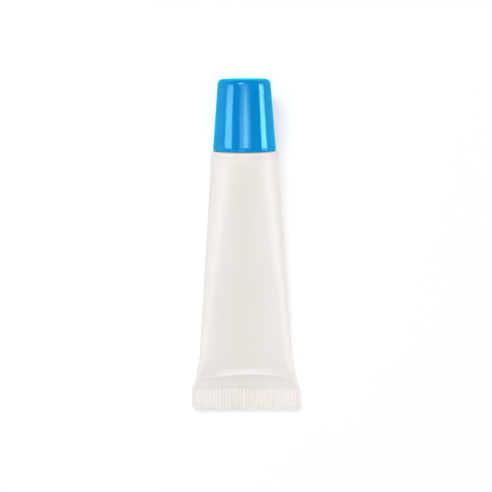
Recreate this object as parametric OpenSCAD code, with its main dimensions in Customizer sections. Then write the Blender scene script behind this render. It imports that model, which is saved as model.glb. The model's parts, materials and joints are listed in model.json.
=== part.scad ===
// Lip cream tube lying on its flat belly, with its screw cap on.
// The tube is drawn upright about its own axis, cap end up, with z = 0 at the open end of the sleeve,
// and laid_down() tips it onto its belly: +Y runs along the tube to the cap, and +Z is up.

/* [Sleeve] */
// Outer diameter of the sleeve at its round end
sleeve_d = 16; // [14:0.5:20]
// Thickness of the sleeve's film
sleeve_wall = 0.5; // [0.35:0.05:0.7]
// Length of the sleeve from its open end to the crimp
sleeve_len = 55.9; // [45:0.1:80]
// Length of the round end, which stays a true cylinder
collar_len = 2.5; // [2.2:0.1:5]
// Thickness of the belly where it starts to close
belly_end_t = 5.5; // [4.5:0.1:7]
// Length over which the belly closes down to the crimp at its sides
closing_len = 7.8; // [6:0.1:11]
// Height of the fold's crease above the crimp, at the sides
fold_h = 2.6; // [2:0.1:4]
// How much higher the crease runs at the middle than at the sides
fold_bow = 1.3; // [0:0.1:2]
// How much thicker the film stays at the middle of the crease than at its sides
fold_rise = 1.2; // [0:0.1:1.5]

/* [Crimp] */
// Height of the crimp along the tube
crimp_h = 4.7; // [3:0.1:7]
// How far the weld is pressed out past the flattened film on each side
crimp_spread = 0.55; // [0:0.05:0.9]
// Length over which the film widens towards the weld
spread_run = 2; // [1:0.1:4]
// Distance from one rib to the next
rib_pitch = 0.82; // [0.7:0.02:1.4]
// Height of the ribs above the grooves between them
rib_depth = 0.22; // [0.1:0.02:0.4]
// Plain margin between the last rib and the side of the crimp
rib_margin = 0.8; // [0.6:0.1:2]
// Radius of the two end corners of the crimp
crimp_corner_r = 0.7; // [0.3:0.1:1.5]

/* [Head] */
// Height of the shoulder above the sleeve
shoulder_h = 1; // [0.8:0.1:2]
// Radius of the shoulder's rounded edge
shoulder_edge_r = 0.6; // [0.2:0.1:0.8]
// Length of the skirt inside the sleeve
skirt_len = 2; // [1:0.1:2.2]
// Wall of the skirt
skirt_wall = 0.7; // [0.5:0.1:1.2]
// Gap between the skirt and the sleeve, which the weld fills
skirt_fit = 0.05; // [0.04:0.01:0.1]
// Diameter of the neck under its thread
neck_d = 9; // [8:0.1:9.4]
// Height of the neck above the shoulder
neck_h = 6; // [4.5:0.1:6.5]
// Bore of the neck
neck_bore_d = 5; // [3:0.1:6]
// Diameter of the applicator tip at its foot
tip_d = 8.4; // [7:0.1:8.8]
// Diameter of the applicator tip at its top
tip_top_d = 7.6; // [6.4:0.1:8]
// Height of the applicator tip above the neck, on its long side
tip_h = 8.4; // [7:0.1:8.8]
// Slant of the applicator's face
tip_slant = 38; // [20:1:42]
// Diameter of the outlet
outlet_d = 2; // [1:0.1:3]

/* [Cap] */
// Diameter of the cap at its open end
cap_d = 14.9; // [14.2:0.05:15.2]
// Diameter that the cap's sides taper to at its closed end
cap_top_d = 12.3; // [11.6:0.1:13]
// Height of the cap
cap_h = 16.8; // [16.6:0.1:22]
// Radius of the edge round the closed end
cap_edge_r = 1.2; // [0.4:0.1:1.6]
// Radius of the small edge round the open end
cap_rim_r = 0.4; // [0.1:0.05:0.5]
// Thickness of the closed end
cap_end_t = 1.2; // [0.8:0.1:1.6]
// Diameter of the bore round the neck and its thread
cap_bore_d = 10.9; // [10.7:0.1:11.2]
// Diameter of the narrower bore round the applicator tip, at its closed end
cap_tip_bore_d = 9; // [8.8:0.1:9.2]
// Height of the bore round the neck
cap_bore_h = 6.6; // [6.6:0.1:7]
// Height over which the bore narrows
cap_throat_h = 1; // [0.5:0.1:1.5]
// Gap between the cap and the shoulder that it closes on
cap_seat = 0.1; // [0.05:0.01:0.2]

/* [Cream] */
// Gap left between the cream and the film
cream_gap = 0.04; // [0.02:0.01:0.1]

/* [Hidden] */
$fn = 96;
// Steps round one rounded side of the sleeve, across one flat, and down the closing end
side_steps = 20;
flat_steps = 12;
closing_steps = 12;
// Thinnest slit that the inside of the sleeve closes down to, and where it ends above the crimp
slit_t = 0.14;
weld_run = 1.2;
// Overlap of a cutter past the face that it cuts
past = 1;

crimp_t = 2 * sleeve_wall;
closing_start = sleeve_len - closing_len;
flats_len = closing_start - collar_len;
flats_slope = (sleeve_d - belly_end_t) / flats_len;
tilt = atan(flats_slope / 2);
crimp_w = film_flat(crimp_t) + crimp_t + 2 * crimp_spread;
tube_end = sleeve_len + crimp_h;
// Stages down the film at which it has a section: the end of the collar, then those of the closing end
collar_stage = collar_len / closing_start;
closing_stages = [for (i = [1:closing_steps]) 1 + 2 * i / closing_steps];

neck_top = shoulder_h + neck_h;
tip_top = neck_top + tip_h;
skirt_d = sleeve_d - 2 * (sleeve_wall + skirt_fit);
skirt_bore_d = skirt_d - 2 * skirt_wall;

cap_base = shoulder_h + cap_seat;
cap_end = cap_base + cap_h;
cap_taper = atan((cap_d - cap_top_d) / 2 / cap_h);
// Centre of the round edge at the cap's closed end, which touches the tapered side and the flat end
cap_edge_z = cap_h - cap_edge_r;
cap_edge_x = cap_d / 2 - cap_edge_z * tan(cap_taper) - cap_edge_r / cos(cap_taper);

// Reach of the laid tube to either end, which places the origin under its middle
reach_to_cap = cap_edge_x * sin(tilt) + (cap_base + cap_edge_z) * cos(tilt) + cap_edge_r;
reach_to_crimp = tube_end * cos(tilt) + (crimp_t + rib_depth) / 2 * sin(tilt);
// Height of the axis above the table at z = 0, with the belly facet down
axis_rise = sleeve_d / 2 * cos(tilt) + collar_len * sin(tilt);

// Width of the flat left in the film's section when it is pressed to thickness t.
// The film keeps its length round the section, so what the round sides lose the two flats gain.
function film_flat(t) = PI * (sleeve_d - t) / 2;

// Cubic between two heights, with a given slope at the start and level at the end, for u from 0 to 1
function ease(from, to, slope, u) =
    from * (2 * u ^ 3 - 3 * u ^ 2 + 1) + slope * (u ^ 3 - 2 * u ^ 2 + u) + to * (3 * u ^ 2 - 2 * u ^ 3);

// Thickness of the straight part of the sleeve at distance s below its open end
function straight_t(s) = sleeve_d - flats_slope * max(0, s - collar_len);

// Thickness of the sleeve's sides at distance s
function sleeve_t(s) =
    s <= closing_start ? straight_t(s)
    : ease(belly_end_t, crimp_t, -flats_slope * closing_len, min(1, (s - closing_start) / closing_len));

// Distance of the crease below the open end, at share k of the half width of the flat, from -1 to 1
function crease_at(k) = sleeve_len - fold_h - fold_bow * (1 - k ^ 2);

// Thickness at distance s and share k. The fold keeps the middle of the film thicker than its sides,
// up to the crease. From there the film drops to the crimp. It never stands out past the belly.
function film_t(s, k) =
    let (
        crease = crease_at(k),
        share = s < crease
            ? (max(0, s - closing_start) / (crease - closing_start)) ^ 2
            : (max(0, sleeve_len - s) / (sleeve_len - crease)) ^ 1.5
    )
    min(straight_t(s), sleeve_t(s) + fold_rise * (1 - k ^ 2) * share);

// How far the film is pressed out sideways at distance s
function spread_at(s) = ease(0, crimp_spread, 0, min(1, max(0, (s - sleeve_len) / spread_run + 1)));

// Half thickness at distance s and share k, moved inwards by inset
function half_t(s, k, inset) = max(film_t(s, k) / 2 - inset, slit_t / 2);

// Distance at a stage down the film, at share k: 1 where it starts to close, 2 on the crease, 3 at last
function film_s(stage, k, last) =
    let (crease = crease_at(k))
    stage <= 1 ? stage * closing_start
    : stage <= 2 ? closing_start + (stage - 1) * (crease - closing_start)
    : crease + (stage - 2) * (last - crease);

// Outline of the sleeve's section at a stage, moved inwards by inset
function section(stage, inset, last) =
    let (
        side_s = film_s(stage, 1, last),
        side_r = half_t(side_s, 1, inset),
        flat_x = film_flat(sleeve_t(side_s)) / 2 + spread_at(side_s)
    )
    [for (side = [1, -1]) each concat(
        [for (i = [0:side_steps]) let (a = 180 * i / side_steps - 90)
            side * [flat_x + side_r * cos(a), side_r * sin(a), 0] - [0, 0, side_s]],
        [for (j = [1:flat_steps - 1]) let (k = 1 - 2 * j / flat_steps, s = film_s(stage, k, last))
            side * [k * flat_x, half_t(s, k, inset), 0] - [0, 0, s]]
    )];

// One closed skin through a list of sections. Strips across the flats close its two ends.
module loft(rings) {
    n = len(rings[0]);
    last = (len(rings) - 1) * n;
    side_mid = side_steps / 2;
    end_strips = [for (m = [0:n / 2 - 1])
        [for (j = [-m - 1, -m, m, m + 1]) (side_mid + j + n) % n]];
    polyhedron(
        points = [for (ring = rings) each ring],
        faces = concat(
            end_strips,
            [for (i = [0:len(rings) - 2], j = [0:n - 1])
                [i * n + j, (i + 1) * n + j, (i + 1) * n + (j + 1) % n, i * n + (j + 1) % n]],
            [for (strip = end_strips) [for (j = reversed(strip)) last + j]]
        ),
        convexity = 4
    );
}

function reversed(list) = [for (i = [len(list) - 1:-1:0]) list[i]];

// The film: up the outside from the crimp, over the open end and down the inside to the weld
module film() {
    stages = concat([0, collar_stage, 1], closing_stages);
    loft(concat(
        [for (stage = reversed(stages)) section(stage, 0, sleeve_len)],
        [for (stage = stages) section(stage, sleeve_wall, sleeve_len - weld_run)]
    ));
}

// Outline of the crimp from its end: two half-round sides, and ribs that run along the tube.
// The ribs of one face stand over the grooves of the other, as interlocking jaws press them.
module crimp_outline() {
    half_w = (crimp_w - crimp_t) / 2;
    rib_n = floor((crimp_w - 2 * rib_margin) / rib_pitch);
    side_arc = [for (i = [0:8]) crimp_t / 2 * [sin(22.5 * i), -cos(22.5 * i)] + [half_w, 0]];
    wave = [for (i = [0:rib_n - 1], q = [-3, -1, 1, 3])
        [(i - (rib_n - 1) / 2 + q / 8) * rib_pitch, (abs(q) == 1 ? 1 : -1) * rib_depth / 2]];
    polygon(concat(
        side_arc,
        [for (p = reversed(wave)) p + [0, crimp_t / 2]],
        [for (p = reversed(side_arc)) [-p[0], p[1]]],
        [for (p = wave) p - [0, crimp_t / 2]]
    ));
}

// What lies outside the round end corner of the crimp on the +X side
module crimp_corner() {
    translate([crimp_w / 2 - crimp_corner_r, 0, -tube_end + crimp_corner_r])
        rotate([90, 0, 0])
            linear_extrude(2 * crimp_t, center = true)
                difference() {
                    translate([0, -crimp_corner_r - past])
                        square(crimp_corner_r + past);
                    circle(crimp_corner_r);
                }
}

module crimp() {
    difference() {
        translate([0, 0, -tube_end])
            linear_extrude(crimp_h)
                crimp_outline();
        crimp_corner();
        mirror([1, 0, 0])
            crimp_corner();
    }
}

// Turns the upright tube down onto the table, with its middle over the origin
module laid_down() {
    translate([0, (reach_to_crimp - reach_to_cap) / 2, axis_rise])
        rotate([tilt - 90, 0, 0])
            children();
}

module tube_sleeve() {
    color("#efe9e4")
        laid_down()
            union() {
                film();
                crimp();
            }
}

// Section of the shoulder and its skirt, right of the axis
module shoulder_profile() {
    edge_x = sleeve_d / 2 - shoulder_edge_r;
    edge_z = shoulder_h - shoulder_edge_r;
    square([edge_x, shoulder_h]);
    square([sleeve_d / 2, edge_z]);
    translate([edge_x, edge_z])
        intersection() {
            circle(shoulder_edge_r);
            square(shoulder_edge_r);
        }
    translate([skirt_bore_d / 2, -skirt_len])
        square([skirt_wall, skirt_len]);
}

// The applicator tip with its slanted face, which looks up when the tube lies down
module tip() {
    difference() {
        translate([0, 0, neck_top])
            cylinder(h = tip_h, d1 = tip_d, d2 = tip_top_d);
        translate([0, tip_top_d / 2, tip_top])
            rotate([tip_slant, 0, 0])
                translate([-tip_d, -2 * tip_h, 0])
                    cube([2 * tip_d, 2 * tip_h + past, 2 * tip_h]);
    }
}

module tube_head() {
    color("#f3f0ee")
        laid_down()
            difference() {
                union() {
                    rotate_extrude()
                        shoulder_profile();
                    cylinder(h = neck_top, d = neck_d);
                    tip();
                }
                translate([0, 0, -past])
                    cylinder(h = neck_top + past, d = neck_bore_d);
                cylinder(h = tip_top + past, d = outlet_d);
            }
}

module cream() {
    inset = sleeve_wall + cream_gap;
    bottom = sleeve_len - weld_run - cream_gap;
    top_stage = (skirt_len + cream_gap) / closing_start;
    stages = concat([top_stage, collar_stage, 1], closing_stages);
    color("#fff6ea")
        laid_down()
            union() {
                loft([for (stage = reversed(stages)) section(stage, inset, bottom)]);
                translate([0, 0, -skirt_len - cream_gap])
                    cylinder(h = skirt_len, d = skirt_bore_d - 2 * cream_gap);
                translate([0, 0, -skirt_len])
                    cylinder(h = skirt_len + neck_top - cream_gap, d = neck_bore_d - 2 * cream_gap);
            }
}

// Section of the cap's outside, right of the axis, with z = 0 at its open end
module cap_profile() {
    side_x = cap_edge_x + cap_edge_r * cos(cap_taper);
    side_z = cap_edge_z + cap_edge_r * sin(cap_taper);
    polygon([
        [0, 0],
        [cap_d / 2 - cap_rim_r, 0],
        [cap_d / 2, cap_rim_r],
        [side_x, side_z],
        [cap_edge_x, cap_edge_z],
        [cap_edge_x, cap_h],
        [0, cap_h]
    ]);
    translate([cap_edge_x, cap_edge_z])
        circle(cap_edge_r);
}

module screw_cap() {
    throat = cap_bore_h + cap_throat_h;
    color("#12a4de")
        laid_down()
            translate([0, 0, cap_base])
                difference() {
                    rotate_extrude()
                        cap_profile();
                    translate([0, 0, -past])
                        cylinder(h = cap_bore_h + past, d = cap_bore_d);
                    translate([0, 0, cap_bore_h])
                        cylinder(h = cap_throat_h, d1 = cap_bore_d, d2 = cap_tip_bore_d);
                    translate([0, 0, throat])
                        cylinder(h = cap_h - cap_end_t - throat, d = cap_tip_bore_d);
                }
}

tube_sleeve();
tube_head();
cream();
screw_cap();
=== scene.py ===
import json
import math

import bmesh
import bpy
from mathutils import Matrix, Vector


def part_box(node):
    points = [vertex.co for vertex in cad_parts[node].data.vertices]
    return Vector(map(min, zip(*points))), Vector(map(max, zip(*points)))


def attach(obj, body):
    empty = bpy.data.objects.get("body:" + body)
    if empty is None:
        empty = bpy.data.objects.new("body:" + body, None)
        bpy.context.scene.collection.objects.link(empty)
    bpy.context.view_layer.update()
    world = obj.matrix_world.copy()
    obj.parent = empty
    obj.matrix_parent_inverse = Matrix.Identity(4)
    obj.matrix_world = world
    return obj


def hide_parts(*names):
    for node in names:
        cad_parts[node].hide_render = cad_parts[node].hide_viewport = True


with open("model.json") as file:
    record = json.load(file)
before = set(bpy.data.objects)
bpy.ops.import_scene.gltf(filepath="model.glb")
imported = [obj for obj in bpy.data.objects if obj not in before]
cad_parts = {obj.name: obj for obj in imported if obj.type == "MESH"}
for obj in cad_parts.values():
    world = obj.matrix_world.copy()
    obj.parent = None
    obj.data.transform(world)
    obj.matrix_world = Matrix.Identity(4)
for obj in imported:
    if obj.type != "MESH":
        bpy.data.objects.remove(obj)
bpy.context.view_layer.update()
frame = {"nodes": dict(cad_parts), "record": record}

# Sizes of the tube, in metres. In the tube's own frame it stands upright on its crimp, and the
# sleeve's open end is at z = 0. Below, s is a distance under that end, k a place across the flat of
# the film from -1 to 1, t a thickness, r a radius, and u and v shares of a length.
SLEEVE_D = 0.016
SLEEVE_WALL = 0.0005
SLEEVE_LEN = 0.0559
SLEEVE_POINTS = 600
COLLAR_LEN = 0.0025
BELLY_END_T = 0.0055
CLOSING_LEN = 0.0078
RIM_EDGE = 0.00002
SLIT_T = 0.00014
WELD_RUN = 0.0012

# The fold over the crimp. FOLD_UPPER is the share of the closing that the rounded bulge takes.
# FOLD_PAINTED_LIGHT and PINCHED_PAINTED_LIGHT are the painted light on the bulge above the crease and on
# the slope below it, as a share of the painted highlight on the crease itself. PAINTED_LIGHT_RUN is the
# share of the closing over which the bulge turns to painted light.
FOLD_H = 0.0026
FOLD_BOW = 0.0013
FOLD_RISE = 0.0012
FOLD_SKEW = 0.25
FOLD_UPPER = 0.667
FOLD_UPPER_GAIN = 1.3
FOLD_PAINTED_LIGHT = 0.5
PINCHED_PAINTED_LIGHT = 0.35
PAINTED_LIGHT_RUN = 0.12
CREASE_RIDGE = 0.00006
CREASE_HALF_W = 0.00027

# The crimp. Its sides draw in over CRIMP_SIDE_W to round its corners, and its ribs come up over
# RIB_RUN. RIB_SQUARE makes their crests and grooves flatter. RIB_PAINTED_HIGHLIGHT paints a highlight on
# the
# crests, which leaves the grooves darker: painted highlight and painted shade.
CRIMP_H = 0.0047
CRIMP_T = 2 * SLEEVE_WALL
CRIMP_SPREAD = 0.00055
SPREAD_RUN = 0.002
CRIMP_CORNER_R = 0.0007
CRIMP_SIDE_W = 0.0013
CRIMP_END_SHARE = 0.86
RIB_PITCH = 0.00082
RIB_DEPTH = 0.00022
RIB_MARGIN = 0.0008
RIB_RUN = 0.0003
RIB_SQUARE = 1.6
RIB_PAINTED_HIGHLIGHT = 0.32

# The head and the cap. POINT_GAP lies between a rounding and the next points of the face beside it.
ROUND_POINTS = 160
POINT_GAP = 0.0004
SHOULDER_H = 0.001
SHOULDER_EDGE_R = 0.0006
SKIRT_LEN = 0.002
SKIRT_R = 0.00745
SKIRT_BORE_R = 0.00675
NECK_R = 0.0045
NECK_H = 0.006
NECK_BORE_R = 0.0025
NECK_FOOT_R = 0.0003
NECK_EDGE_R = 0.0002
TIP_R = 0.0042
TIP_TOP_R = 0.0038
TIP_H = 0.0084
TIP_SLANT = math.radians(38)
TIP_EDGE_R = 0.0007
OUTLET_R = 0.001

# The threads: they thin out over THREAD_ENDS of a turn, and their flanks take THREAD_FLANK of the
# half width.
THREAD_PITCH = 0.0026
THREAD_START = 0.0022
THREAD_TURNS = 1.5
THREAD_HALF_W = 0.00075
THREAD_FLANK = 0.7
THREAD_ENDS = 0.12
NECK_THREAD_H = 0.00058
CAP_THREAD_H = 0.0002

CAP_R = 0.00745
CAP_TOP_R = 0.00615
CAP_H = 0.0168
CAP_EDGE_R = 0.0012
CAP_RIM_R = 0.0004
CAP_END_T = 0.0012
CAP_BORE_R = 0.00545
CAP_BORE_BEVEL = 0.0003
CAP_MOUTH_GAIN = 0.00025
CAP_TIP_BORE_R = 0.0045
CAP_ROOF_R = 0.0004
CAP_BORE_H = 0.0066
CAP_THROAT_H = 0.001
CAP_SEAT = 0.0001

CLOSING_START = SLEEVE_LEN - CLOSING_LEN
FLATS_SLOPE = (SLEEVE_D - BELLY_END_T) / (CLOSING_START - COLLAR_LEN)
TUBE_END = SLEEVE_LEN + CRIMP_H
NECK_TOP = SHOULDER_H + NECK_H
CAP_BASE = SHOULDER_H + CAP_SEAT

# How the upright tube lies in the row, from the joint's axis and from the sleeve's box
AXIS = Vector(frame["record"]["behaviour"]["joints"][0]["axis"]).normalized()
TILT = math.asin(AXIS.z)
CRIMP_REACH = TUBE_END * math.cos(TILT) + (CRIMP_T + RIB_DEPTH) / 2 * math.sin(TILT)
LAID = Matrix.Translation((
    0,
    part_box("tube_sleeve")[0][1] + CRIMP_REACH,
    SLEEVE_D / 2 * math.cos(TILT) + COLLAR_LEN * math.sin(TILT),
)) @ Matrix.Rotation(TILT - math.pi / 2, 4, "X")

# Colours of the film: at its left side, along the middle and at its right side. The cream tints the
# middle, and the right side is painted lighter than the left as painted light. Then come the share of
# them that is left in the weld, and the colour of the painted highlight on the crease, the fold and the
# rib crests.
FILM_LEFT = (0.82, 0.80, 0.78)
FILM_MIDDLE = (0.80, 0.758, 0.712)
FILM_RIGHT_PAINTED_LIGHT = (0.855, 0.81, 0.79)
FILM_WELDED = (0.932, 0.925, 0.922)
FILM_PAINTED_HIGHLIGHT = (1.0, 0.97, 0.94)
WELD_TINT_RUN = 0.001

# Camera straight above the tube, with the photograph's field
CAMERA_HEIGHT = 0.5
CAMERA_FIELD = 0.118
CAMERA_PLACE = (0.00024, -0.00053)
CAMERA_ROLL = math.radians(-0.3)
SENSOR = 36

WORLD_STRENGTH = 0.12
FLOOR_HALF_W = 3.0
FLOOR_GREY = 0.65
FLOOR_GLOW = 0.328


def clamp(value, low=0.0, high=1.0):
    """The value, or the nearest end of the range from low to high."""
    return min(high, max(low, value))


def smooth(share):
    """Soft step that runs from 0 to 1 as share does."""
    share = clamp(share)
    return share * share * (3 - 2 * share)


def film_flat(t):
    """Width of the flat in the film's section when it is pressed to thickness t, its length kept."""
    return math.pi * (SLEEVE_D - t) / 2


def straight_t(s):
    """Thickness at the sleeve's sides above the closing, where it shrinks evenly."""
    return SLEEVE_D - FLATS_SLOPE * max(0.0, s - COLLAR_LEN)


def sleeve_t(s):
    """Thickness at the sleeve's sides at distance s."""
    if s <= CLOSING_START:
        return straight_t(s)
    u = clamp((s - CLOSING_START) / CLOSING_LEN)
    return (BELLY_END_T * (2 * u**3 - 3 * u**2 + 1)
            - FLATS_SLOPE * CLOSING_LEN * (u**3 - 2 * u**2 + u)
            + CRIMP_T * (3 * u**2 - 2 * u**3))


def crease_at(k):
    """Distance of the fold's crease, at share k of the half width of the flat."""
    return SLEEVE_LEN - FOLD_H - FOLD_BOW * (1 - k * k) * (1 + FOLD_SKEW * k)


def fold_bulge(s, k):
    """How much thicker the film stays than its sides: it rises to the crease, then drops to the crimp."""
    if s <= CLOSING_START or s >= SLEEVE_LEN:
        return 0.0
    crease = crease_at(k)
    rise = FOLD_RISE * (1 - k * k)
    if s > crease:
        return rise * ((SLEEVE_LEN - s) / (SLEEVE_LEN - crease))**1.5
    v = (s - CLOSING_START) / (crease - CLOSING_START)
    if v < FOLD_UPPER:
        return rise * FOLD_UPPER_GAIN * v * v
    upper = FOLD_UPPER_GAIN * FOLD_UPPER**2
    return rise * (upper + (1 - upper) * (v - FOLD_UPPER) / (1 - FOLD_UPPER))


def crease_share(s, k):
    """Share of the sharp line that the fold leaves along its crease, 1 on the line."""
    away = (s - crease_at(k)) / CREASE_HALF_W
    return math.sqrt(max(0.0, 1 - k * k)) * math.exp(-away * away)


def painted_light_share(s, k):
    """How much painted light lies on the fold: a painted highlight on the crease, painted light on the
    bulge above it, and less painted light on the slope below it towards the crimp."""
    crease = crease_at(k)
    if s > crease:
        zone = PINCHED_PAINTED_LIGHT * (SLEEVE_LEN - s) / (SLEEVE_LEN - crease) * (1 - k * k)
    else:
        v = (s - CLOSING_START) / (crease - CLOSING_START)
        zone = FOLD_PAINTED_LIGHT * smooth((v - FOLD_UPPER) / PAINTED_LIGHT_RUN + 0.5) * (1 - k * k)**2
    return max(crease_share(s, k), zone)


def film_s(stage, k, last):
    """Distance at a stage down the film: 1 where the closing starts, 2 on the crease, 3 at last."""
    if stage <= 1:
        return stage * CLOSING_START
    if stage > 3:
        return SLEEVE_LEN + (stage - 3) * CRIMP_H
    crease = crease_at(k)
    if stage <= 2:
        return CLOSING_START + (stage - 1) * (crease - CLOSING_START)
    return crease + (stage - 2) * (last - crease)


def rib_wave(x, s):
    """Height of the crimp's ribs, which run along the tube, at x and distance s."""
    ribs_w = math.floor((crimp_width() - 2 * RIB_MARGIN) / RIB_PITCH) * RIB_PITCH
    if abs(x) > ribs_w / 2:
        return 0.0
    phase = math.cos(2 * math.pi * x / RIB_PITCH)
    fade = smooth((s - SLEEVE_LEN) / RIB_RUN + 0.5)
    return RIB_DEPTH / 2 * math.tanh(RIB_SQUARE * phase) / math.tanh(RIB_SQUARE) * fade


def crimp_width():
    """Width of the crimp: the flattened film, its round sides and what the weld is pressed out."""
    return film_flat(CRIMP_T) + CRIMP_T + 2 * CRIMP_SPREAD


def corner_inset(s):
    """How far the crimp's sides draw in near its end, round the corners."""
    d = clamp(s - (TUBE_END - CRIMP_CORNER_R), 0, CRIMP_CORNER_R)
    return CRIMP_CORNER_R - math.sqrt(CRIMP_CORNER_R**2 - d**2)


def section(stage, inset, last=SLEEVE_LEN):
    """Points of the sleeve's section at a stage, evenly spaced round the film, moved in by inset."""
    side_s = film_s(stage, 1, last)
    edge_t = sleeve_t(side_s)
    r = max(edge_t / 2 - inset, SLIT_T / 2)
    spread = CRIMP_SPREAD * smooth((side_s - SLEEVE_LEN) / SPREAD_RUN + 1)
    flat_x = film_flat(edge_t) / 2 + spread
    quarter = math.pi * r / 2 + flat_x
    side_from = flat_x + r - CRIMP_SIDE_W
    shrink = 1 - corner_inset(side_s) / CRIMP_SIDE_W
    points = []
    for i in range(SLEEVE_POINTS):
        quadrant, step = divmod(i, SLEEVE_POINTS // 4)
        along = step / (SLEEVE_POINTS // 4)
        length = quarter * (along if quadrant % 2 == 0 else 1 - along)
        right = 1 if quadrant in (0, 3) else -1
        s = side_s
        if length < math.pi * r / 2:
            x = flat_x + r * math.cos(length / r)
            y = r * math.sin(length / r)
        else:
            x = quarter - length
            k = right * x / flat_x if flat_x > 0 else 0.0
            s = film_s(stage, k, last)
            y = max((sleeve_t(s) + fold_bulge(s, k)) / 2 - inset, SLIT_T / 2)
            y += CREASE_RIDGE * crease_share(s, k) if inset == 0 else 0.0
        if x > side_from:
            x = side_from + (x - side_from) * shrink
        x *= right
        y *= 1 if quadrant in (0, 1) else -1
        if s > SLEEVE_LEN - RIB_RUN and inset == 0:
            y += rib_wave(x, s)
        points.append(Vector((x, y, -s)))
    return points


def steps(first, last, count):
    """Evenly spaced numbers from first to last, with both of them."""
    return [first + (last - first) * i / count for i in range(count + 1)]


def loft(name, rings, close_ends=True):
    """One mesh object through rings of points, in the tube's own frame, laid down into the row."""
    mesh = bpy.data.meshes.new(name)
    count = len(rings[0])
    points = [p for ring in rings for p in ring]
    faces = []
    for i in range(len(rings) - 1):
        for j in range(count):
            k = (j + 1) % count
            faces.append((i * count + j, (i + 1) * count + j, (i + 1) * count + k, i * count + k))
    if close_ends:
        faces.append(tuple(range(count)))
        last = (len(rings) - 1) * count
        faces.append(tuple(last + j for j in reversed(range(count))))
    mesh.from_pydata(points, [], faces)
    mesh.transform(LAID)
    tidy = bmesh.new()
    tidy.from_mesh(mesh)
    bmesh.ops.remove_doubles(tidy, verts=tidy.verts, dist=1e-7)
    loose = [edge for edge in tidy.edges if not edge.link_faces]
    bmesh.ops.delete(tidy, geom=loose, context="EDGES")
    bmesh.ops.recalc_face_normals(tidy, faces=tidy.faces)
    tidy.to_mesh(mesh)
    tidy.free()
    mesh.shade_smooth()
    piece = bpy.data.objects.new(name, mesh)
    bpy.context.scene.collection.objects.link(piece)
    return piece


def revolved(name, profile, shift):
    """A closed solid of revolution through profile, a loop of (radius, height) points.

    shift says how far each point moves outward and up at each angle."""
    rings = []
    for j in range(ROUND_POINTS):
        angle = 2 * math.pi * j / ROUND_POINTS
        ring = []
        for index, (radius, height) in enumerate(profile):
            outward, up = shift(index, angle, radius, height)
            away = radius + outward
            ring.append(Vector((away * math.cos(angle), away * math.sin(angle), height + up)))
        rings.append(ring)
    rings.append(rings[0])
    return loft(name, rings, close_ends=False)


def arc(centre_r, centre_z, radius, start, end, count):
    """Points of a round edge in a profile, with its angles in degrees."""
    return [(centre_r + radius * math.cos(math.radians(a)), centre_z + radius * math.sin(math.radians(a)))
            for a in steps(start, end, count)]


def thread(angle, height, start):
    """Share of a right-handed thread's height at that angle and height above its start, 0 to 1."""
    turn = (height - start) / THREAD_PITCH - angle / (2 * math.pi)
    nearest = round(turn)
    place = nearest + angle / (2 * math.pi)
    away = abs(turn - nearest) * THREAD_PITCH
    ends = smooth(place / THREAD_ENDS) * smooth((THREAD_TURNS - place) / THREAD_ENDS)
    return smooth((THREAD_HALF_W - away) / (THREAD_HALF_W * THREAD_FLANK)) * ends


def store_painted_light(skin):
    """Store the share of painted light at each point of the sleeve: a painted highlight on the crease and
    the rib crests, and painted light on the fold.
    """
    upright = LAID.inverted()
    painted_light = skin.data.attributes.new("painted_light", "FLOAT", "POINT")
    for vertex in skin.data.vertices:
        place = upright @ vertex.co
        s = -place.z
        # Rib crests get a painted highlight and grooves none, so the grooves read as painted shade; the
        # fold gets its painted highlight and painted light
        if s >= SLEEVE_LEN:
            crest = 0.5 + math.copysign(1, place.y) * rib_wave(place.x, s) / RIB_DEPTH
            painted_light.data[vertex.index].value = RIB_PAINTED_HIGHLIGHT * crest
        elif CLOSING_START < s < SLEEVE_LEN and abs(place.y) > SLEEVE_WALL:
            k = clamp(place.x / (film_flat(sleeve_t(s)) / 2), -1, 1)
            painted_light.data[vertex.index].value = painted_light_share(s, k)


def make_sleeve():
    """The film with its inside, in stages that lie closest round the crease and the corners."""
    ribs_stage = 3 + RIB_RUN / CRIMP_H
    corner_stage = 4 - CRIMP_CORNER_R / CRIMP_H
    outside = (steps(RIM_EDGE / CLOSING_START, 1, 26)
               + steps(1, 1.85, 14)[1:]
               + steps(1.85, 2.2, 22)[1:]
               + steps(2.2, 3, 14)[1:]
               + steps(3, ribs_stage, 3)[1:]
               + steps(ribs_stage, corner_stage, 4)[1:]
               + steps(corner_stage, 4 - RIM_EDGE / CRIMP_H, 6)[1:])
    inside = [0.0] + steps(COLLAR_LEN / CLOSING_START, 1, 4) + steps(1, 3, 12)[1:]
    rings = [[Vector((p.x, p.y * CRIMP_END_SHARE, -TUBE_END)) for p in section(4, 0)]]
    rings += [section(stage, 0) for stage in reversed(outside)]
    rings += [section(0, RIM_EDGE)]
    rings += [section(stage, SLEEVE_WALL, SLEEVE_LEN - WELD_RUN) for stage in inside]
    skin = loft("sleeve_skin", rings)
    store_painted_light(skin)
    return skin


def slant_height(y):
    """Height of the applicator's slanted face above the sleeve's open end."""
    return NECK_TOP + TIP_H + (y - TIP_TOP_R) * math.tan(TIP_SLANT)


def tip_radius(z):
    """Radius of the applicator tip's tapered side at height z."""
    return TIP_R + (TIP_TOP_R - TIP_R) * clamp((z - NECK_TOP) / TIP_H)


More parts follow.
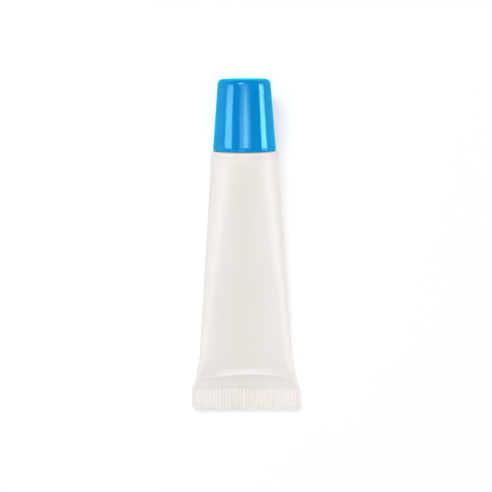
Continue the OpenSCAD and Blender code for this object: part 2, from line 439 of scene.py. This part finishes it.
def make_head():
    """Skirt, shoulder, threaded neck and slanted tip. The tip's points in the profile are only
    places, which shaped() moves on to its side and its slanted face."""
    edge_r = SLEEVE_D / 2 - SHOULDER_EDGE_R
    edge_z = SHOULDER_H - SHOULDER_EDGE_R
    skirt = [(SKIRT_BORE_R, 0), (SKIRT_BORE_R, -SKIRT_LEN), (SKIRT_R, -SKIRT_LEN), (SKIRT_R, 0),
             (SLEEVE_D / 2, 0)]
    shoulder = [(SLEEVE_D / 2, z) for z in steps(RIM_EDGE, edge_z, 2)] \
        + arc(edge_r, edge_z, SHOULDER_EDGE_R, 15, 90, 6) \
        + [(r, SHOULDER_H) for r in steps(edge_r - NECK_FOOT_R, NECK_R + POINT_GAP, 5)] \
        + arc(NECK_R + NECK_FOOT_R, SHOULDER_H + NECK_FOOT_R, NECK_FOOT_R, 270, 180, 4)
    neck = [(NECK_R, z) for z in steps(SHOULDER_H + POINT_GAP, NECK_TOP - NECK_FOOT_R, 60)] \
        + arc(NECK_R - NECK_EDGE_R, NECK_TOP - NECK_EDGE_R, NECK_EDGE_R, 0, 90, 4) \
        + [(TIP_R, NECK_TOP)]
    side_count, face_count = 26, 22
    first_side = len(skirt) + len(shoulder) + len(neck)
    first_face = first_side + side_count
    first_bore = first_face + face_count
    tip = [(0, 0)] * (side_count + face_count)
    bore = [(OUTLET_R, 0), (OUTLET_R, NECK_TOP + POINT_GAP), (NECK_BORE_R, NECK_TOP - POINT_GAP),
            (NECK_BORE_R, 0)]

    def rim(angle):
        """Radius and height at which the tip's side meets its slanted face."""
        r = TIP_TOP_R
        for _ in range(6):
            r = tip_radius(slant_height(r * math.sin(angle)))
        return r, slant_height(r * math.sin(angle))

    def shaped(index, angle, radius, height):
        """Moves the neck's points outward where the thread runs, and the tip's points to their places."""
        if SHOULDER_H < height < NECK_TOP and abs(radius - NECK_R) < 1e-6:
            return NECK_THREAD_H * thread(angle, height, THREAD_START), 0
        if not first_side <= index <= first_bore:
            return 0, 0
        rim_r, rim_z = rim(angle)
        if index < first_face:
            share = (index - first_side + 1) / side_count
            z = NECK_TOP + (rim_z - TIP_EDGE_R - NECK_TOP) * share
            return tip_radius(z) - radius, z - height
        share = (index - first_face + 1) / (face_count + 1)
        if share < 0.5:
            across = TIP_EDGE_R * (1 - math.cos(math.pi * share))
        else:
            across = TIP_EDGE_R + (rim_r - OUTLET_R - TIP_EDGE_R) * (2 * share - 1)
        r = rim_r - across
        depth = TIP_EDGE_R - math.sqrt(TIP_EDGE_R**2 - max(0.0, TIP_EDGE_R - across)**2)
        return r - radius, slant_height(r * math.sin(angle)) - depth - height

    return revolved("applicator_head", skirt + shoulder + neck + tip + bore, shaped)


def cap_side(z):
    """Radius of the cap's tapered side at height z above its open end."""
    return CAP_R + (CAP_TOP_R - CAP_R) * z / CAP_H


def make_cap():
    """Tapered shell with a rounded end edge, and a stepped bore for neck and tip."""
    taper = math.atan((CAP_R - CAP_TOP_R) / CAP_H)
    edge_z = CAP_H - CAP_EDGE_R
    edge_r = cap_side(edge_z) - CAP_EDGE_R / math.cos(taper)
    throat = CAP_BORE_H + CAP_THROAT_H
    roof = CAP_H - CAP_END_T
    outside = arc(CAP_R - CAP_RIM_R, CAP_RIM_R, CAP_RIM_R, 270, 350, 6) \
        + [(cap_side(z), z) for z in steps(CAP_RIM_R, edge_z, 24)] \
        + arc(edge_r, edge_z, CAP_EDGE_R, math.degrees(taper), 90, 12) \
        + [(r, CAP_H) for r in steps(edge_r - POINT_GAP, 0, 8)]
    inside = [(r, roof) for r in steps(0, CAP_TIP_BORE_R - CAP_ROOF_R - POINT_GAP / 4, 4)] \
        + arc(CAP_TIP_BORE_R - CAP_ROOF_R, roof - CAP_ROOF_R, CAP_ROOF_R, 90, 0, 4) \
        + [(CAP_TIP_BORE_R, z) for z in steps(roof - 2 * CAP_ROOF_R, throat, 6)] \
        + [(CAP_BORE_R, z) for z in steps(CAP_BORE_H, CAP_BORE_BEVEL, 56)] \
        + [(CAP_BORE_R + CAP_MOUTH_GAIN, 0)]
    profile = [(r, z + CAP_BASE) for r, z in outside + inside]

    def shaped(index, angle, radius, height):
        """Moves the points of the bore inward where the thread runs."""
        if abs(radius - CAP_BORE_R) > 1e-6:
            return 0, 0
        return -CAP_THREAD_H * thread(angle, height, THREAD_START + THREAD_PITCH / 2), 0

    return revolved("cap_shell", profile, shaped)


def new_material(name):
    """A new material with its nodes, its links and its shader."""
    material = bpy.data.materials.new(name)
    material.use_nodes = True
    nodes = material.node_tree.nodes
    return material, nodes, material.node_tree.links, nodes["Principled BSDF"]


def noise(nodes, links, scale, detail, stretch=(1, 1, 1)):
    """Noise that is fixed to the piece, with scale in features a metre."""
    place = nodes.new("ShaderNodeTexCoord")
    mapping = nodes.new("ShaderNodeMapping")
    mapping.inputs["Scale"].default_value = stretch
    texture = nodes.new("ShaderNodeTexNoise")
    texture.inputs["Scale"].default_value = scale
    texture.inputs["Detail"].default_value = detail
    links.new(place.outputs["Object"], mapping.inputs["Vector"])
    links.new(mapping.outputs["Vector"], texture.inputs["Vector"])
    return texture.outputs["Fac"]


def ramp(nodes, links, factor, first, last, low=0.3, high=0.7):
    """Colour that runs from first to last as factor runs from low to high."""
    node = nodes.new("ShaderNodeValToRGB")
    node.color_ramp.elements[0].position = low
    node.color_ramp.elements[0].color = (*first, 1)
    node.color_ramp.elements[1].position = high
    node.color_ramp.elements[1].color = (*last, 1)
    links.new(factor, node.inputs["Fac"])
    return node.outputs["Color"]


def bump(nodes, links, factor, height, shader):
    """Fine unevenness of the surface, height metres deep."""
    node = nodes.new("ShaderNodeBump")
    node.inputs["Strength"].default_value = 1.0
    node.inputs["Distance"].default_value = height
    links.new(factor, node.inputs["Height"])
    links.new(node.outputs["Normal"], shader.inputs["Normal"])


def map_range(nodes, links, value, start, end, first=0.0, last=1.0):
    """Number that runs from first to last as value runs from start to end."""
    node = nodes.new("ShaderNodeMapRange")
    node.inputs["From Min"].default_value = start
    node.inputs["From Max"].default_value = end
    node.inputs["To Min"].default_value = first
    node.inputs["To Max"].default_value = last
    links.new(value, node.inputs["Value"])
    return node.outputs["Result"]


def spread_values(nodes, links, factor, low, high):
    """Number that runs from low to high as a noise factor runs from 0.3 to 0.7."""
    return map_range(nodes, links, factor, 0.3, 0.7, low, high)


def math_node(nodes, links, operation, first, second):
    """Result of an operation on a value and on a second value or plain number."""
    node = nodes.new("ShaderNodeMath")
    node.operation = operation
    links.new(first, node.inputs[0])
    if isinstance(second, float):
        node.inputs[1].default_value = second
    else:
        links.new(second, node.inputs[1])
    return node.outputs[0]


def multiplied(nodes, links, first, second):
    """Product of two colours."""
    node = nodes.new("ShaderNodeMix")
    node.data_type = "RGBA"
    node.blend_type = "MULTIPLY"
    node.inputs["Factor"].default_value = 1.0
    links.new(first, node.inputs["A"])
    links.new(second, node.inputs["B"])
    return node.outputs["Result"]


def film_material():
    """Warm white film, satin and slightly see-through: the cream tints it most along the middle.
    Its right side is painted lighter than its left, which is painted light. The stored share paints a
    highlight on the crease, painted light on the fold beside it, and a painted highlight on the rib
    crests.
    """
    material, nodes, links, shader = new_material("sleeve_film")
    place = nodes.new("ShaderNodeTexCoord")
    parts = nodes.new("ShaderNodeSeparateXYZ")
    links.new(place.outputs["Object"], parts.inputs["Vector"])
    low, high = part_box("tube_sleeve")
    width = map_range(nodes, links, parts.outputs["Y"], low[1], high[1], crimp_width(), SLEEVE_D)
    share = math_node(nodes, links, "DIVIDE", parts.outputs["X"], width)
    across = math_node(nodes, links, "ADD", share, 0.5)
    # Colour across the film: the cream tints the middle, and the right side is painted lighter than the
    # left, which is painted light
    base = ramp(nodes, links, across, FILM_LEFT, FILM_RIGHT_PAINTED_LIGHT, 0.1, 0.9)
    base.node.color_ramp.elements.new(0.5).color = (*FILM_MIDDLE, 1)
    welded = map_range(nodes, links, parts.outputs["Y"], low[1] + CRIMP_H + WELD_TINT_RUN,
                       low[1] + CRIMP_H)
    weld = ramp(nodes, links, welded, (1, 1, 1), FILM_WELDED, 0, 1)
    cloud = noise(nodes, links, 90, 2, (1, 0.45, 1))
    patches = ramp(nodes, links, cloud, (0.975, 0.975, 0.97), (1, 1, 1))
    tinted = multiplied(nodes, links, multiplied(nodes, links, base, patches), weld)
    # Painted highlight and painted light on the crease, the fold and the rib crests, mixed in from the
    # stored share
    crease = nodes.new("ShaderNodeAttribute")
    crease.attribute_name = "painted_light"
    with_painted_light = nodes.new("ShaderNodeMix")
    with_painted_light.data_type = "RGBA"
    with_painted_light.inputs["B"].default_value = (*FILM_PAINTED_HIGHLIGHT, 1)
    links.new(crease.outputs["Fac"], with_painted_light.inputs["Factor"])
    links.new(tinted, with_painted_light.inputs["A"])
    links.new(with_painted_light.outputs["Result"], shader.inputs["Base Color"])
    links.new(spread_values(nodes, links, noise(nodes, links, 260, 3), 0.42, 0.5),
              shader.inputs["Roughness"])
    bump(nodes, links, noise(nodes, links, 450, 2), 0.000006, shader)
    shader.inputs["IOR"].default_value = 1.5
    shader.inputs["Specular IOR Level"].default_value = 0.4
    shader.inputs["Subsurface Weight"].default_value = 0.2
    shader.inputs["Subsurface Radius"].default_value = (1.0, 0.9, 0.8)
    shader.inputs["Subsurface Scale"].default_value = 0.001
    return material


def head_material():
    """Milky white moulding."""
    material, nodes, links, shader = new_material("head_plastic")
    cloud = noise(nodes, links, 180, 2)
    links.new(ramp(nodes, links, cloud, (0.79, 0.76, 0.73), (0.82, 0.79, 0.765)),
              shader.inputs["Base Color"])
    links.new(spread_values(nodes, links, noise(nodes, links, 500, 3), 0.36, 0.44),
              shader.inputs["Roughness"])
    bump(nodes, links, noise(nodes, links, 1500, 2), 0.000006, shader)
    shader.inputs["Subsurface Weight"].default_value = 0.3
    shader.inputs["Subsurface Radius"].default_value = (1.0, 0.95, 0.9)
    shader.inputs["Subsurface Scale"].default_value = 0.001
    return material


def cream_material():
    """Soft pale cream."""
    material, nodes, links, shader = new_material("lip_cream")
    cloud = noise(nodes, links, 300, 3)
    links.new(ramp(nodes, links, cloud, (0.86, 0.78, 0.70), (0.9, 0.83, 0.76)),
              shader.inputs["Base Color"])
    links.new(spread_values(nodes, links, cloud, 0.25, 0.4), shader.inputs["Roughness"])
    bump(nodes, links, noise(nodes, links, 900, 3), 0.00004, shader)
    shader.inputs["Subsurface Weight"].default_value = 0.2
    shader.inputs["Subsurface Scale"].default_value = 0.001
    return material


def cap_material():
    """Glossy clear blue moulding."""
    material, nodes, links, shader = new_material("cap_plastic")
    flow = noise(nodes, links, 120, 2, (1, 0.4, 1))
    links.new(ramp(nodes, links, flow, (0.0, 0.255, 0.62), (0.0, 0.285, 0.66)),
              shader.inputs["Base Color"])
    links.new(spread_values(nodes, links, noise(nodes, links, 400, 3), 0.09, 0.12),
              shader.inputs["Roughness"])
    bump(nodes, links, noise(nodes, links, 350, 2), 0.000006, shader)
    shader.inputs["IOR"].default_value = 1.5
    shader.inputs["Specular IOR Level"].default_value = 0.6
    shader.inputs["Specular Tint"].default_value = (1.0, 1.0, 0.95, 1)
    shader.inputs["Coat Weight"].default_value = 1.0
    shader.inputs["Coat IOR"].default_value = 1.0
    shader.inputs["Coat Roughness"].default_value = 0.08
    shader.inputs["Coat Tint"].default_value = (0.42, 1.0, 1.0, 1)
    shader.inputs["Subsurface Weight"].default_value = 0.7
    shader.inputs["Subsurface Radius"].default_value = (0.1, 0.7, 1.0)
    shader.inputs["Subsurface Scale"].default_value = 0.003
    return material


def make_camera():
    """Camera straight above the tube, the crimp at the bottom of the picture."""
    data = bpy.data.cameras.new("camera")
    data.sensor_width = SENSOR
    data.lens = SENSOR * CAMERA_HEIGHT / CAMERA_FIELD
    data.clip_start = 0.01
    camera = bpy.data.objects.new("camera", data)
    camera.location = (*CAMERA_PLACE, CAMERA_HEIGHT)
    camera.rotation_euler = (0, 0, CAMERA_ROLL)
    bpy.context.scene.collection.objects.link(camera)
    bpy.context.scene.camera = camera


def softbox(name, side, front, distance, width, length, radiance, shadow=True):
    """A soft rectangular light, in degrees off the vertical to the +X side and to the -Y side.

    Its length runs along Y as far as its direction lets it, and it faces the tube."""
    data = bpy.data.lights.new(name, "AREA")
    data.shape = "RECTANGLE"
    data.size = width
    data.size_y = length
    data.energy = radiance * math.pi * width * length
    data.use_shadow = shadow
    toward = Vector((math.tan(math.radians(side)), -math.tan(math.radians(front)), 1)).normalized()
    across = Vector((0, 1, 0)).cross(toward).normalized()
    along = toward.cross(across)
    light = bpy.data.objects.new(name, data)
    light.matrix_world = (Matrix.Translation(toward * distance)
                          @ Matrix((across, along, toward)).transposed().to_4x4())
    light.visible_camera = False
    bpy.context.scene.collection.objects.link(light)


def make_lights():
    """A studio's softboxes. The low ones throw no shadow, so that the key's and the overhead ones'
    short shadow is all that lies beside the tube."""
    world = bpy.data.worlds.new("studio")
    bpy.context.scene.world = world
    world.use_nodes = True
    world.node_tree.nodes["Background"].inputs["Color"].default_value = (1, 1, 1, 1)
    world.node_tree.nodes["Background"].inputs["Strength"].default_value = WORLD_STRENGTH
    softbox("overhead", 2.5, 2.6, 0.9, 0.66, 0.15, 2.9)
    softbox("overhead_core", 5, 2.6, 0.85, 0.2, 0.15, 4.4)
    softbox("left_strip", -62.5, 4.5, 0.8, 0.41, 0.21, 6.5, shadow=False)
    softbox("right_strip", 78.5, 4.5, 0.8, 0.32, 0.21, 10, shadow=False)
    softbox("left_fill", -78, 0, 1.0, 0.5, 1.0, 0.5, shadow=False)
    softbox("right_fill", 78, 0, 1.0, 0.5, 1.0, 1.2, shadow=False)
    softbox("key", -14, -28, 0.9, 0.34, 0.4, 9.7)
    softbox("front_strip", 0, 55, 0.8, 0.35, 0.37, 3.2, shadow=False)


def make_floor():
    """Pale floor that shows white to the camera and keeps the tube's shadow."""
    mesh = bpy.data.meshes.new("floor")
    far = FLOOR_HALF_W
    mesh.from_pydata([(-far, -far, 0), (far, -far, 0), (far, far, 0), (-far, far, 0)], [],
                     [(0, 1, 2, 3)])
    floor = bpy.data.objects.new("floor", mesh)
    bpy.context.scene.collection.objects.link(floor)
    material, nodes, links, shader = new_material("floor")
    shader.inputs["Base Color"].default_value = (FLOOR_GREY, FLOOR_GREY, FLOOR_GREY, 1)
    shader.inputs["Roughness"].default_value = 1.0
    shader.inputs["Specular IOR Level"].default_value = 0.0
    path = nodes.new("ShaderNodeLightPath")
    seen = math_node(nodes, links, "MAXIMUM", path.outputs["Is Camera Ray"],
                     path.outputs["Is Glossy Ray"])
    seen = math_node(nodes, links, "MAXIMUM", seen, path.outputs["Is Transmission Ray"])
    links.new(math_node(nodes, links, "MULTIPLY", seen, FLOOR_GLOW), shader.inputs["Emission Strength"])
    shader.inputs["Emission Color"].default_value = (1, 1, 1, 1)
    mesh.materials.append(material)


def dress(piece, material, body, slot, *nodes):
    """Give a piece its material, and say which body it rides on and which CAD nodes it replaces."""
    piece.data.materials.clear()
    piece.data.materials.append(material)
    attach(piece, body)
    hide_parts(*nodes)


bpy.context.scene.view_settings.view_transform = "Standard"
make_camera()
make_lights()
make_floor()
dress(make_sleeve(), film_material(), "tube", "sleeve_film", "tube_sleeve")
dress(make_head(), head_material(), "tube", "head_plastic", "tube_head")
dress(make_cap(), cap_material(), "cap", "cap_plastic", "screw_cap")
cream = frame["nodes"]["cream"]
cream.data.materials.clear()
cream.data.materials.append(cream_material())
